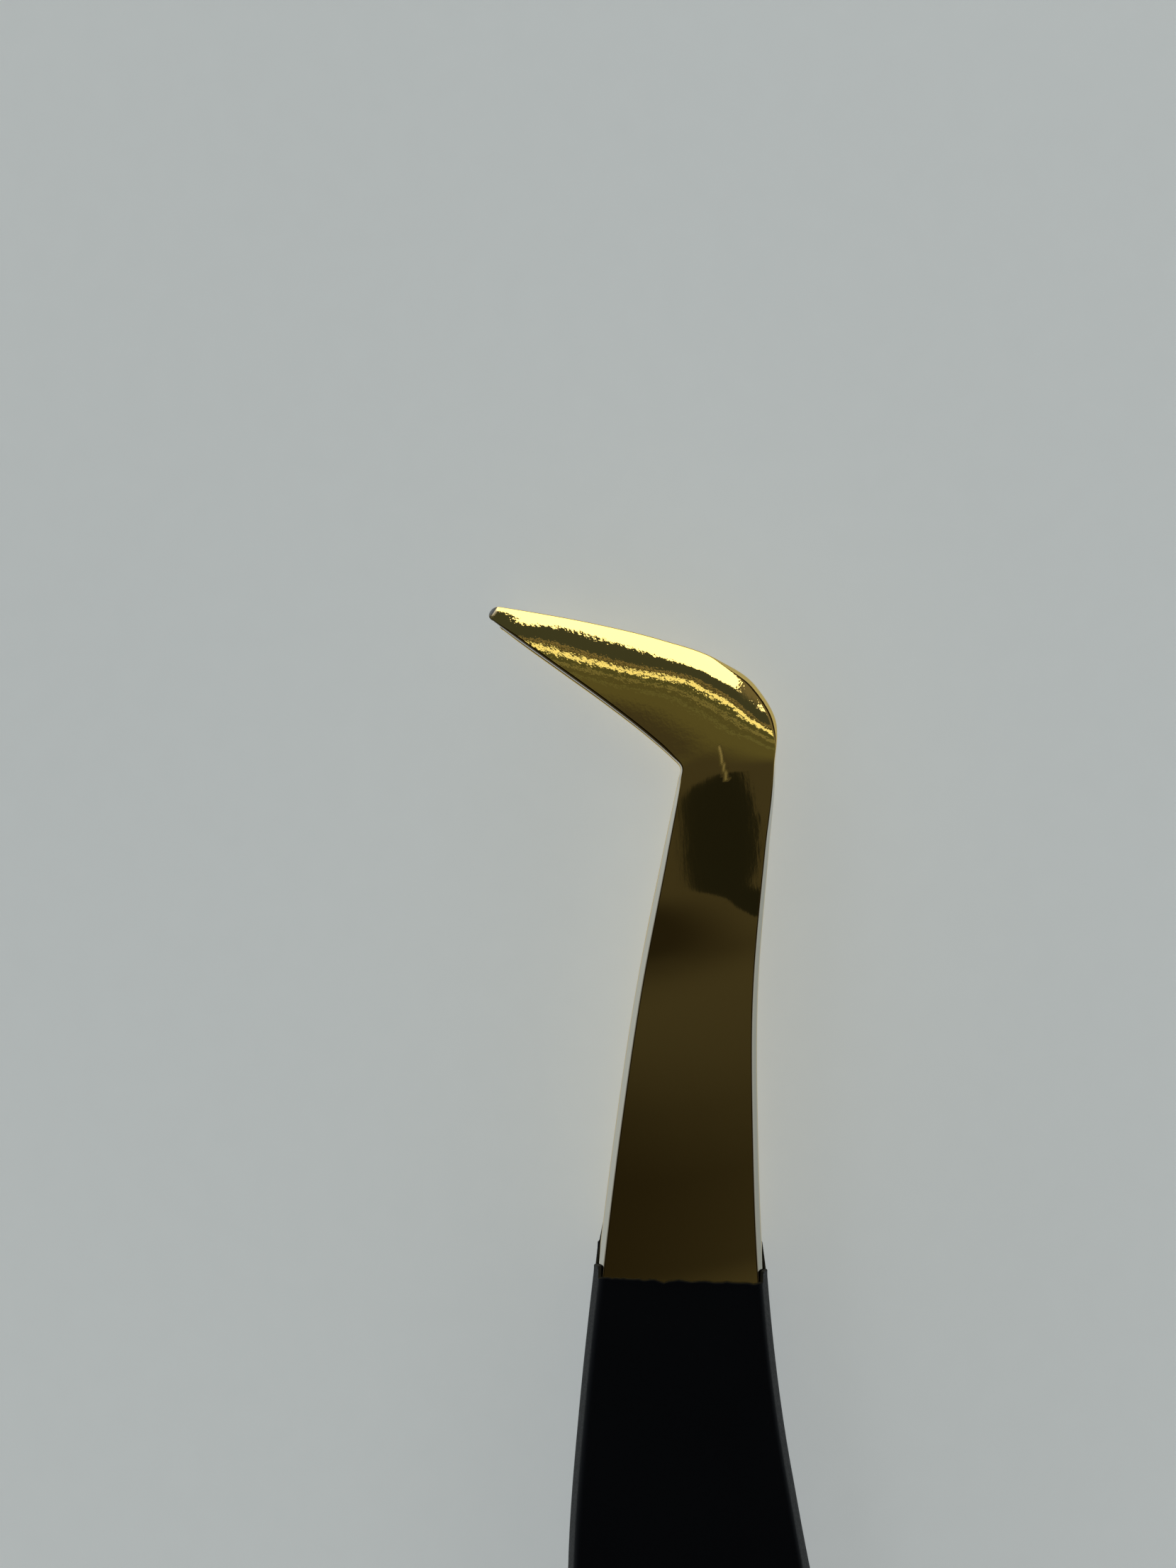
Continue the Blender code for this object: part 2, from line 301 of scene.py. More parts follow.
def arm_rings(rows, offset, outer_radius, bare_face=True):
    """Points round every station of the upper arm: boot-side flank, outer face, back flank, mating face.

    offset moves the whole skin outwards. Returns the points and, for each column, its part of the section.
    """
    head, back, thickness, lean = rows[:, 0:2], rows[:, 2:4], rows[:, 4], rows[:, 5]
    width = np.linalg.norm(back - head, axis=1)
    across = (back - head) / width[:, None]
    top = thickness + offset
    outer = np.minimum(outer_radius + offset, np.minimum(0.3 * thickness, 0.25 * width) + offset)
    in_boot = smoothstep(head[:, 0], *BOOT_EDGE_IN) * smoothstep(width, 0.5, 1.5)
    boot_edge = outer + BOOT_EDGE * in_boot
    in_heel = smoothstep(back[:, 0], *HEEL_EDGE_IN) * smoothstep(back[:, 0], *HEEL_EDGE_OUT)
    outer = outer + BACK_EDGE * in_boot + HEEL_EDGE * in_heel
    inner = np.minimum(INNER_EDGE + offset, np.minimum(0.2 * thickness, 0.15 * width) + offset)
    inward, downward = corner(CORNER_STEPS)
    flank_shares = np.linspace(0.0, 1.0, FLANK_STEPS + 2)[1:-1]
    columns, kinds = [], []

    def flank(z):
        return lean * np.clip(z / thickness, 0.0, 1.0) - offset

    def add(s, z, kind):
        columns.append((s, z))
        kinds.append(kind)

    for k in reversed(range(CORNER_STEPS)):
        z = -offset + inner * downward[k]
        add(flank(z) + inner * inward[k], z, "inner_edge" if k < FLANK_CORNER_STEPS else "mating")
    for share in flank_shares:
        z = -offset + inner + share * (top + offset - inner - boot_edge)
        add(flank(z), z, "flank")
    for k in range(CORNER_STEPS):
        z = top - boot_edge * downward[k]
        add(flank(z) + boot_edge * inward[k], z, "outer_edge")
    left = lean - offset + boot_edge
    right = width - lean + offset - outer
    for share in face_shares():
        add(left + share * (right - left), top, "face")
    for k in reversed(range(CORNER_STEPS)):
        z = top - outer * downward[k]
        add(width - flank(z) - outer * inward[k], z, "outer_edge")
    for share in reversed(flank_shares):
        z = -offset + inner + share * (top + offset - inner - outer)
        add(width - flank(z), z, "back_flank")
    for k in range(CORNER_STEPS):
        z = -offset + inner * downward[k]
        add(width - flank(z) - inner * inward[k], z, "inner_edge" if k < FLANK_CORNER_STEPS else "mating")
    low = width - (inner - offset)
    high = inner - offset
    for share in np.linspace(0.0, 1.0, MATING_STEPS + 2)[1:-1]:
        add(low + share * (high - low), np.full(len(rows), -offset), "mating")

    s = np.stack([np.broadcast_to(c[0], width.shape) for c in columns], axis=1)
    z = np.stack([np.broadcast_to(c[1], width.shape) for c in columns], axis=1)
    plan = head[:, None, :] + across[:, None, :] * s[..., None]
    if bare_face:
        height = np.clip(z / thickness[:, None], 0.0, 1.0)
        z = z - ground_away(s, rows) * height
        z = z + (hand_polish(plan) + neck_roll(plan) + face_hump(plan)) * smoothstep(height, 0.8, 1.0)
    z = z + mating_height(plan[..., 0])
    return np.concatenate([plan, z[..., None]], axis=2), kinds


# Slight hump of the outer face between the coat and the neck: place along the arm, and the slope there.
FACE_SLOPES = [
    (94.2, 0.0), (95.2, 0.03), (98.5, 0.03), (101.0, 0.01), (103.5, -0.02),
    (105.0, -0.037), (105.6, -0.03), (106.5, 0.0), (110.0, 0.0),
]


def face_hump(plan):
    """Height of the hump, from its slopes. Its crest runs across the arm aslant, and bends a little."""
    places, slopes = np.array(FACE_SLOPES).T
    fine = np.linspace(places[0], places[-1], 300)
    slope = np.interp(fine, places, slopes)
    rise = np.concatenate([[0.0], np.cumsum((slope[1:] + slope[:-1]) / 2.0 * np.diff(fine))])
    aslant = plan[..., 1] + 2.6
    return np.interp(plan[..., 0] + 0.14 * aslant - 0.03 * aslant**2, fine, rise)


NECK_ROLL = 0.023  # slope of the neck's outer face towards the back edge


def neck_roll(plan):
    """The neck's outer face falls a little towards the back edge."""
    return NECK_ROLL * (plan[..., 1] + 4.2) * smoothstep(plan[..., 0], 106.5, 109.0)


def hand_polish(plan):
    """Slight waves that hand polishing leaves in the outer face of the head."""
    waves = np.zeros(plan.shape[:-1])
    head = plan[..., 0] > 96.0
    waves[head] = [
        0.0004 * mathnoise.noise((x * 0.35, y * 0.6, 4.0))
        + 0.0002 * mathnoise.noise((x * 0.9, y * 0.9, 1.0))
        + 0.0001 * mathnoise.noise((x * 2.6, y * 2.6, 7.0))
        for x, y in plan[head]
    ]
    return waves * smoothstep(plan[..., 0], 96.0, 100.0)


def new_mesh_object(name, vertices, faces, materials):
    """Links a new smooth-shaded mesh object."""
    mesh = bpy.data.meshes.new(name)
    mesh.from_pydata([tuple(v) for v in vertices], [], faces)
    mesh.validate()
    mesh.shade_smooth()
    for material in materials:
        mesh.materials.append(material)
    obj = bpy.data.objects.new(name, mesh)
    bpy.context.scene.collection.objects.link(obj)
    return obj


def paint(obj, name, values):
    """Stores one number per vertex for the material to read."""
    attribute = obj.data.attributes.new(name, "FLOAT", "POINT")
    attribute.data.foreach_set("value", np.asarray(values, np.float32).ravel())


def loft_faces(stations_count, columns, side):
    """Quads between rings that each run right round, and the two caps."""
    faces = []
    for i in range(stations_count - 1):
        for j in range(columns):
            k = (j + 1) % columns
            a, b = i * columns, (i + 1) * columns
            faces.append((a + j, a + k, b + k, b + j))
    faces.append(tuple(reversed(range(columns))))
    faces.append(tuple((stations_count - 1) * columns + j for j in range(columns)))
    return faces if side > 0 else [tuple(reversed(face)) for face in faces]


SCRATCH_START = np.array([114.2, -4.12])
SCRATCH_END = np.array([113.0, -4.27])
SCRATCH_HALF_WIDTH = 0.11
SCRATCH_ABOVE = 3.5  # only the outer face lies above this height at the bend


def scratch(rings):
    """A short scratch across the bend of the upper arm: 1 on its line, and 0 beyond its width."""
    off = distance_to(rings[..., 0:2], [SCRATCH_START, SCRATCH_END])
    return smoothstep(off, SCRATCH_HALF_WIDTH, 0.02) * (rings[..., 2] > SCRATCH_ABOVE)


# Places along the arm between which a finish changes.
FLANKS_END = (113.6, 112.6)
# Between these the dark line of painted shade along the grip's outer edges fades out towards the boot.
PAINTED_RIM_SHADE_ENDS = (114.0, 112.0)
GROUND_BEGINS = (113.2, 115.2)
WORN_POINT = (120.2, 3.9)  # middle of the worn place, and how far the wear reaches from it
WORN_REACH = (0.42, 0.2)


def build_arm(name, side, material):
    """Closed loft of one plated arm, with the numbers that its material reads."""
    rings, kinds = arm_rings(stations(), 0.0, bpy.context.scene.tongs_shape.arm_edge / MM)
    count, columns = rings.shape[:2]
    faces = loft_faces(count, columns, side)
    obj = new_mesh_object(name, to_frame(rings.reshape(-1, 3), side), faces, [material])
    x = rings[..., 0]
    behind_boot = smoothstep(x, *FLANKS_END)
    # The back flank's share also carries painted shade: the material draws the back flanks darker.
    for part, fade in (("flank", behind_boot), ("back_flank", behind_boot), ("mating", 1.0)):
        here = np.array([1.0 if kind == part else 0.0 for kind in kinds])
        paint(obj, part, np.tile(here, (count, 1)) * fade)
    # The rim is painted shade: a dark brown line along the outer edges of the grip and neck, and over the
    # boot's side edge and flank.
    edges = np.array([1.0 if kind == "outer_edge" else 0.0 for kind in kinds])
    boot_side = [j < columns / 2 and kind in ("outer_edge", "flank") for j, kind in enumerate(kinds)]
    painted_rim_shade = np.maximum(edges * smoothstep(x, *PAINTED_RIM_SHADE_ENDS), np.array(boot_side) * (1.0 - behind_boot))
    paint(obj, "painted_rim_shade", painted_rim_shade)
    paint(obj, "ground", smoothstep(x, *GROUND_BEGINS))
    paint(obj, "scratch", scratch(rings) if side > 0 else np.zeros(rings.shape[:2]))
    to_point = np.hypot(x - WORN_POINT[0], rings[..., 1] - WORN_POINT[1])
    paint(obj, "tip_wear", smoothstep(to_point, *WORN_REACH))
    return obj


COAT_GAP = 0.03  # between the steel and the coat's inner skin
COAT_LENGTH = 95.0  # the rings are spaced for this length, and then scaled to each column's own front
COAT_LINE = ((95.1, 2.38), (94.3, -3.84))  # where the coat ends on the outer face
COAT_FLANK_REACH = 0.35  # how much further the flanks are coated than the outer face
COAT_MATING_LINE = ((96.3, 2.38), (95.65, -3.84))  # the same on the mating face
COAT_LINE_MIDDLE = 94.5  # where a column's place across the arm is read
COAT_LIP = (94.9, 95.2)  # where the coat thins towards its lip over the mating face
COAT_LIP_THINNER = 0.55  # share by which it thins there
# The bead at the coat's front edge: distance behind the edge, and share of the coat's thickness.
COAT_BEAD = (
    (0.0, 0.35), (0.015, 0.75), (0.03, 0.98), (0.05, 1.12), (0.08, 1.16), (0.13, 1.08), (0.3, 1.0),
)
# Rings of the coat near the tail end, measured from there, and near the front edge, measured from that.
COAT_TAIL_RINGS = (0.0, 0.04, 0.12, 0.25, 0.45, 0.7, 1.0, 1.3, 1.6, 2.2)
COAT_FRONT_RINGS = (0.2, 0.13, 0.08, 0.05, 0.03, 0.015, 0.0)
# Rings that close the coat round the tail end: how far each is drawn in, and how far it is behind the steel.
COAT_CAPS = ((0.3, 0.13), (0.14, 0.1), (0.04, 0.05))
CAP_HALF_WIDTH = 0.9
CAP_HALF_HEIGHT = 0.63


def coat_front(y, kind):
    """Where the coat ends, at this place across the arm."""
    line = COAT_MATING_LINE if kind == "mating" else COAT_LINE
    (x0, y0), (x1, y1) = line
    front = x0 + (x1 - x0) * (y - y0) / (y1 - y0)
    if kind in ("flank", "back_flank", "inner_edge"):
        front += COAT_FLANK_REACH
    ragged = 0.05 * mathnoise.noise((y * 2.2, 3.0, 0.0)) + 0.035 * mathnoise.noise((y * 6.0, 9.0, 0.0))
    notch = -0.09 * math.exp(-(((y + 0.05) / 0.16) ** 2)) if kind == "face" else 0.0
    return front + ragged + notch


def coat_skins():
    """The coat's outer and inner points, ring by ring from tail to front edge, and its columns' kinds."""
    shape = bpy.context.scene.tongs_shape
    rows = stations()
    rows = rows[rows[:, 0] < 99.0]
    thickness, edge = shape.coat_thickness / MM, shape.coat_edge / MM
    inner, kinds = arm_rings(rows, COAT_GAP, edge, bare_face=False)
    outer, _ = arm_rings(rows, COAT_GAP + thickness, edge, bare_face=False)
    tail = COAT_LENGTH - np.array(COAT_TAIL_RINGS)
    grip = [*np.linspace(92.0, 4.0, 110), *np.geomspace(3.8, 0.3, 25)]
    behind_front = np.concatenate([tail, grip, COAT_FRONT_RINGS])
    bead = np.interp(behind_front, *np.array(COAT_BEAD).T)
    outer_points = np.zeros((len(behind_front), len(kinds), 3))
    inner_points = np.zeros_like(outer_points)
    for j, kind in enumerate(kinds):
        y_here = np.interp(COAT_LINE_MIDDLE, inner[:, j, 0], inner[:, j, 1])
        front = coat_front(y_here, kind)
        along = np.clip(front - behind_front * (front / COAT_LENGTH), 0.0, None)
        keep = bead
        if kind == "mating":
            keep = bead * (1.0 - COAT_LIP_THINNER * smoothstep(along, *COAT_LIP))
        for axis in range(3):
            o = np.interp(along, outer[:, j, 0], outer[:, j, axis])
            i = np.interp(along, inner[:, j, 0], inner[:, j, axis])
            outer_points[:, j, axis] = i + (o - i) * keep
            inner_points[:, j, axis] = i
    return outer_points, inner_points, kinds


def close_tail(outer_points, inner_points):
    """Puts rings before the first ones, which draw both skins in to a flat cap at the tail end."""
    first, hidden = outer_points[0], inner_points[0].copy()
    hidden[:, 0] = -COAT_GAP
    centre = first.mean(axis=0)
    caps_outer, caps_inner = [], []
    for drawn, back in COAT_CAPS:
        keep_across = 1.0 - drawn / CAP_HALF_WIDTH
        keep_up = 1.0 - drawn / CAP_HALF_HEIGHT
        ring = first.copy()
        ring[:, 0] = -back
        ring[:, 1] = first[:, 1] * keep_across
        ring[:, 2] = centre[2] + (first[:, 2] - centre[2]) * keep_up
        caps_outer.append(ring)
        inside = centre + (hidden - centre) * [1.0, keep_across, keep_up]
        inside[:, 0] = -COAT_GAP
        caps_inner.append(inside)
    return np.concatenate([caps_outer, outer_points]), np.concatenate([caps_inner, inner_points])


def coat_faces(outer_points, kinds):
    """Faces of both skins and of the walls that join them, and which of them are the coat's front edge."""
    count, columns = outer_points.shape[:2]
    inner_base = count * columns
    over_mating = {j for j, kind in enumerate(kinds) if kind == "mating"}
    faces, marks, edges = [], [], set()
    for i in range(count - 1):
        for j in range(columns):
            k = (j + 1) % columns
            on_mating = j in over_mating or k in over_mating
            if on_mating and outer_points[i + 1, j, 0] < SPACER_FRONT:
                continue
            low, high = i * columns, (i + 1) * columns
            corners = (low + j, low + k, high + k, high + j)
            faces.append(corners)
            marks.append(i >= count - 4)
            faces.append(tuple(inner_base + c for c in reversed(corners)))
            marks.append(False)
            edges.update(zip(corners, corners[1:] + corners[:1]))
    cap = tuple(reversed(range(columns)))
    edges.update(zip(cap, cap[1:] + cap[:1]))
    faces += [cap, tuple(inner_base + c for c in reversed(cap))]
    marks += [False, False]
    for a, b in sorted(edges):
        if (b, a) not in edges:
            faces.append((b, a, inner_base + a, inner_base + b))
            marks.append(a >= (count - 1) * columns)
    return faces, marks


def build_coat(name, side, materials):
    """Sleeve of coat with its own wall, ragged where the masking ended, and open over the joint."""
    outer_points, inner_points, kinds = coat_skins()
    outer_points, inner_points = close_tail(outer_points, inner_points)
    faces, marks = coat_faces(outer_points, kinds)
    if side < 0:
        faces = [tuple(reversed(face)) for face in faces]
    points = np.concatenate([outer_points.reshape(-1, 3), inner_points.reshape(-1, 3)])
    obj = new_mesh_object(name, to_frame(points, side), faces, materials)
    for polygon, marked in zip(obj.data.polygons, marks):
        polygon.material_index = 1 if marked else 0
    return obj


def build_spacer(material):
    """Plate between the two tails, with softened edges."""
    rows = stations()
    rows = rows[(rows[:, 0] > SPACER_INSET) & (rows[:, 0] < SPACER_FRONT)]
    front = rows[-1].copy()
    front[[0, 2]] = SPACER_FRONT
    outline = np.array(
        [row[0:2] - (0.0, SPACER_INSET) for row in [*rows, front]]
        + [row[2:4] + (0.0, SPACER_INSET) for row in reversed([*rows, front])]
    )
    centre = outline.mean(axis=0)
    half = TAIL_HEIGHT - JOINT_GAP
    # Each level's height, and how far its outline is drawn in to soften the edges.
    above = [(half - 0.08, 0.0), (half - 0.03, 0.02), (half, 0.08)]
    levels = [(-z, drawn) for z, drawn in reversed(above)] + above
    rings = []
    for z, drawn in levels:
        reach = np.linalg.norm(outline - centre, axis=1)[:, None]
        ring = centre + (outline - centre) * (1.0 - drawn / reach)
        rings.append(np.concatenate([ring, np.full((len(ring), 1), z)], axis=1))
    columns = len(outline)
    faces = []
    for i in range(len(levels) - 1):
        for j in range(columns):
            k = (j + 1) % columns
            low, high = i * columns, (i + 1) * columns
            faces.append((low + k, low + j, high + j, high + k))
    faces.append(tuple(range(columns)))
    faces.append(tuple(reversed([(len(levels) - 1) * columns + j for j in range(columns)])))
    return new_mesh_object("spacer_plate", to_frame(np.concatenate(rings), 1), faces, [material])


def add_node(tree, kind, sockets=None, **settings):
    """Adds one node. sockets maps an input's name or number to a value, or to the output that feeds it."""
    node = tree.nodes.new(kind)
    for name, value in settings.items():
        setattr(node, name, value)
    for key, value in (sockets or {}).items():
        if isinstance(value, bpy.types.NodeSocket):
            tree.links.new(value, node.inputs[key])
        else:
            node.inputs[key].default_value = value
    return node


def new_material(name):
    """An empty node material and its tree."""
    material = bpy.data.materials.new(name)
    material.use_nodes = True
    material.node_tree.nodes.clear()
    return material, material.node_tree


def nitride_plated_steel():
    """Stainless steel, polished, with a hard gold nitride plating: a near mirror with faint polishing lines.

    The plating is thin and paler on the sheared flanks, and worn through to grey steel at the point. The back
    flanks are drawn darker, and the grip's edges and the boot's side carry a dark brown line: both are
    painted shade.
    """
    material, tree = new_material("nitride_plated_polished_steel")
    finish = bpy.context.scene.tongs_finish
    place = add_node(tree, "ShaderNodeTexCoord").outputs["Object"]
    flank, back_flank, mating, ground, painted_rim_shade, scratched, worn = [
        add_node(tree, "ShaderNodeAttribute", attribute_name=name).outputs["Fac"]
        for name in ("flank", "back_flank", "mating", "ground", "painted_rim_shade", "scratch", "tip_wear")
    ]

    # Plating that is a little warmer in patches about 8 mm across.
    patches = add_node(tree, "ShaderNodeTexNoise", {"Vector": place, "Scale": 125.0, "Detail": 2.0})
    colour = add_node(
        tree,
        "ShaderNodeMix",
        {
            "Factor": patches.outputs["Fac"],
            "A": (*finish.plating[:3], 1.0),
            "B": (*finish.plating_warm[:3], 1.0),
        },
        data_type="RGBA",
    ).outputs[2]
    # The back flanks' darker tint and the dark rim are painted shade; the flank tint and the grey point are
    # the metal's own.
    for factor, over in (
        (flank, finish.plating_flank),
        (back_flank, finish.painted_shade_back_flank),
        (painted_rim_shade, finish.painted_rim_shade_colour),
        (worn, finish.bare_steel),
    ):
        colour = add_node(
            tree,
            "ShaderNodeMix",
            {"Factor": factor, "A": colour, "B": (*over[:3], 1.0)},
            data_type="RGBA",
        ).outputs[2]
    # Polishing lines run along the arm. Real ones lie under 0.02 mm apart, and these 0.1 mm, to show.
    along = add_node(tree, "ShaderNodeMapping", {"Vector": place, "Scale": (0.12, 1.0, 1.0)})
    lines = add_node(tree, "ShaderNodeTexNoise", {"Vector": along.outputs[0], "Scale": 9000.0, "Detail": 3.0})
    # The ground boot keeps finer facets, 0.15 mm across, which make the edges of its reflections ragged.
    facets = add_node(tree, "ShaderNodeTexNoise", {"Vector": place, "Scale": 6500.0, "Detail": 2.0})
    facet_depth = add_node(
        tree, "ShaderNodeMath", {0: ground, 1: 7.0, 2: 0.2}, operation="MULTIPLY_ADD"
    )
    ragged = add_node(
        tree, "ShaderNodeMath", {0: facets.outputs["Fac"], 1: facet_depth.outputs[0]}, operation="MULTIPLY"
    )
    relief = add_node(
        tree,
        "ShaderNodeMath",
        {0: lines.outputs["Fac"], 1: 0.3, 2: ragged.outputs[0]},
        operation="MULTIPLY_ADD",
    )
    scored = add_node(
        tree, "ShaderNodeMath", {0: scratched, 1: -6.0, 2: relief.outputs[0]}, operation="MULTIPLY_ADD"
    )
    bump = add_node(
        tree, "ShaderNodeBump", {"Height": scored.outputs[0], "Strength": 0.3, "Distance": 0.000001}
    )
    rough = add_node(
        tree,
        "ShaderNodeMapRange",
        {
            "Value": patches.outputs["Fac"],
            "From Min": 0.3,
            "From Max": 0.7,
            "To Min": 0.012,
            "To Max": 0.03,
        },
    )
    # The mating face is left satin, the scratch is rough, and the worn point is dull.
    satin = add_node(
        tree, "ShaderNodeMath", {0: mating, 1: 0.2, 2: rough.outputs[0]}, operation="MULTIPLY_ADD"
    )
    rubbed = add_node(
        tree, "ShaderNodeMath", {0: scratched, 1: 0.45, 2: satin.outputs[0]}, operation="MULTIPLY_ADD"
    )
    dull = add_node(
        tree, "ShaderNodeMath", {0: worn, 1: 0.25, 2: rubbed.outputs[0]}, operation="MULTIPLY_ADD"
    )
    shader = add_node(
        tree,
        "ShaderNodeBsdfPrincipled",
        {
            "Base Color": colour,
            "Metallic": 1.0,
            "Roughness": dull.outputs[0],
            "Normal": bump.outputs[0],
        },
    )
    add_node(tree, "ShaderNodeOutputMaterial", {"Surface": shader.outputs[0]})
    return material


def black_powder_coat():
    """Black epoxy powder coat, sprayed and baked: satin, with a fine orange-peel skin."""
    material, tree = new_material("black_powder_coat")
    finish = bpy.context.scene.tongs_finish
    place = add_node(tree, "ShaderNodeTexCoord").outputs["Object"]
    # Orange peel about 0.35 mm across, and grains of powder 0.08 mm across.
    peel = add_node(tree, "ShaderNodeTexNoise", {"Vector": place, "Scale": 2800.0, "Detail": 1.0})
    grain = add_node(tree, "ShaderNodeTexNoise", {"Vector": place, "Scale": 12000.0, "Detail": 2.0})
    relief = add_node(
        tree,
        "ShaderNodeMath",
        {0: grain.outputs["Fac"], 1: 0.35, 2: peel.outputs["Fac"]},
        operation="MULTIPLY_ADD",
    )
    bump = add_node(
        tree, "ShaderNodeBump", {"Height": relief.outputs[0], "Strength": 0.5, "Distance": 0.00001}
    )
    blotches = add_node(tree, "ShaderNodeTexNoise", {"Vector": place, "Scale": 220.0, "Detail": 3.0})
    colour = add_node(
        tree,
        "ShaderNodeMix",
        {
            "Factor": blotches.outputs["Fac"],
            "A": (*finish.coat[:3], 1.0),
            "B": (*finish.coat_light[:3], 1.0),
        },
        data_type="RGBA",
    )
    rough = add_node(
        tree,
        "ShaderNodeMapRange",
        {
            "Value": grain.outputs["Fac"],
            "From Min": 0.3,
            "From Max": 0.7,
            "To Min": 0.36,
            "To Max": 0.5,
        },
    )
    shader = add_node(
        tree,
        "ShaderNodeBsdfPrincipled",
        {
            "Base Color": colour.outputs[2],
            "Roughness": rough.outputs[0],
            "IOR": 1.2,
            "Specular IOR Level": 0.15,
            "Normal": bump.outputs[0],
        },
    )
    add_node(tree, "ShaderNodeOutputMaterial", {"Surface": shader.outputs[0]})
    return material


def masked_coat_edge():
    """The thin edge of the powder coat where the masking tape ended: a brownish film over the plating."""
    material, tree = new_material("masked_coat_edge")
    finish = bpy.context.scene.tongs_finish
    place = add_node(tree, "ShaderNodeTexCoord").outputs["Object"]
    mottle = add_node(tree, "ShaderNodeTexNoise", {"Vector": place, "Scale": 6000.0, "Detail": 2.0})
    colour = add_node(
        tree,
        "ShaderNodeMix",
        {
            "Factor": mottle.outputs["Fac"],
            "A": (*finish.coat_light[:3], 1.0),
            "B": (*finish.coat_edge[:3], 1.0),
        },
        data_type="RGBA",
    )
    bump = add_node(
        tree, "ShaderNodeBump", {"Height": mottle.outputs["Fac"], "Strength": 0.4, "Distance": 0.00001}
    )
    shader = add_node(
        tree,
        "ShaderNodeBsdfPrincipled",
        {
            "Base Color": colour.outputs[2],
            "Roughness": 0.5,
            "IOR": 1.2,
            "Specular IOR Level": 0.15,
            "Normal": bump.outputs[0],
        },
    )
    add_node(tree, "ShaderNodeOutputMaterial", {"Surface": shader.outputs[0]})
    return material


def blanked_spacer_steel():
    """Stainless strip, blanked and left unpolished: grey, with grain along it and a dark oxide bloom."""
    material, tree = new_material("blanked_stainless_strip")
    finish = bpy.context.scene.tongs_finish
    place = add_node(tree, "ShaderNodeTexCoord").outputs["Object"]
    along = add_node(tree, "ShaderNodeMapping", {"Vector": place, "Scale": (0.05, 1.0, 1.0)})
    # Grain of the rolled strip, 0.1 mm between lines.
    grain = add_node(tree, "ShaderNodeTexNoise", {"Vector": along.outputs[0], "Scale": 9000.0, "Detail": 3.0})
    bloom = add_node(tree, "ShaderNodeTexNoise", {"Vector": place, "Scale": 500.0, "Detail": 3.0})
    colour = add_node(
        tree,
        "ShaderNodeMix",
        {
            "Factor": bloom.outputs["Fac"],
            "A": (*finish.bare_steel[:3], 1.0),
            "B": (*finish.oxide[:3], 1.0),
        },
        data_type="RGBA",
    )
    rough = add_node(
        tree,
        "ShaderNodeMapRange",
        {
            "Value": grain.outputs["Fac"],
            "From Min": 0.3,
            "From Max": 0.7,
            "To Min": 0.28,
            "To Max": 0.42,
        },
    )
    bump = add_node(
        tree, "ShaderNodeBump", {"Height": grain.outputs["Fac"], "Strength": 0.3, "Distance": 0.00001}
    )
    shader = add_node(
        tree,
        "ShaderNodeBsdfPrincipled",
        {
            "Base Color": colour.outputs[2],
            "Metallic": 1.0,
            "Roughness": rough.outputs[0],
            "Normal": bump.outputs[0],
        },
    )
    add_node(tree, "ShaderNodeOutputMaterial", {"Surface": shader.outputs[0]})
    return material


def pale_paper():
    """Uncoated paper, pale and cool: matt, with fibres too fine to see, drawn as a faint mottle."""
    material, tree = new_material("pale_uncoated_paper")
    finish = bpy.context.scene.tongs_finish
    place = add_node(tree, "ShaderNodeTexCoord").outputs["Object"]
    fibres = add_node(tree, "ShaderNodeTexNoise", {"Vector": place, "Scale": 900.0, "Detail": 4.0})
    sweep = add_node(tree, "ShaderNodeTexNoise", {"Vector": place, "Scale": 14.0, "Detail": 1.0})
    mottle = add_node(
        tree,
        "ShaderNodeMath",
        {0: fibres.outputs["Fac"], 1: 0.25, 2: sweep.outputs["Fac"]},
        operation="MULTIPLY_ADD",
    )
    tone = add_node(
        tree,
        "ShaderNodeMapRange",
        {"Value": mottle.outputs[0], "From Min": 0.3, "From Max": 0.95, "To Min": 0.94, "To Max": 1.03},
    )
    colour = add_node(
        tree,
        "ShaderNodeVectorMath",
        {0: finish.paper[:3], "Scale": tone.outputs[0]},
        operation="SCALE",
    )
    shader = add_node(
        tree,
        "ShaderNodeBsdfPrincipled",
        {
            "Base Color": colour.outputs[0],
            "Roughness": 0.9,
            "Specular IOR Level": 0.1,
            "Emission Color": colour.outputs[0],
            "Emission Strength": finish.paper_glow,
        },
    )
    add_node(tree, "ShaderNodeOutputMaterial", {"Surface": shader.outputs[0]})
    return material


# Brightness of the room by direction. A direction is given as its run per unit of height: u towards the boot
# end of the tongs, v towards the boot's point. A step gives the runs at which a change starts and ends, and
# the brightness after it. These steps go by the run towards the window.
ROOM_TURN = (0.842, -0.539)  # plan direction in which the brightness changes, towards the window
ROOM_OVER_HANDLE = (0.018, 0.0165, 0.015)
ROOM_STEPS = [
    (-0.13, -0.02, (0.052, 0.051, 0.048)),
    (0.02, 0.12, (0.1, 0.105, 0.07)),
    (0.16, 0.165, (0.13, 0.145, 0.1)),
    (0.172, 0.18, (0.09, 0.096, 0.063)),
    (0.213, 0.22, (0.19, 0.2, 0.14)),
    (0.232, 0.24, (0.08, 0.092, 0.06)),
    (0.277, 0.284, (1.15, 1.2, 0.95)),
    (0.31, 0.315, (0.085, 0.085, 0.065)),
    (0.336, 0.34, (0.22, 0.2, 0.15)),
    (0.352, 0.36, (0.052, 0.064, 0.068)),
]
# These go by v, past the side of the window.
SIDE_STEPS = [
    (-0.3, -0.42, (0.17, 0.165, 0.15)),
    (-0.8, -1.0, (0.016, 0.015, 0.014)),
]
# Something small and dark hangs over the tongs: its middle by u and v, how far it reaches, its brightness.
DARK_OVER_NECK = ((-0.061, -0.0605), (0.027, 0.0118), (0.0125, 0.0141, 0.015))


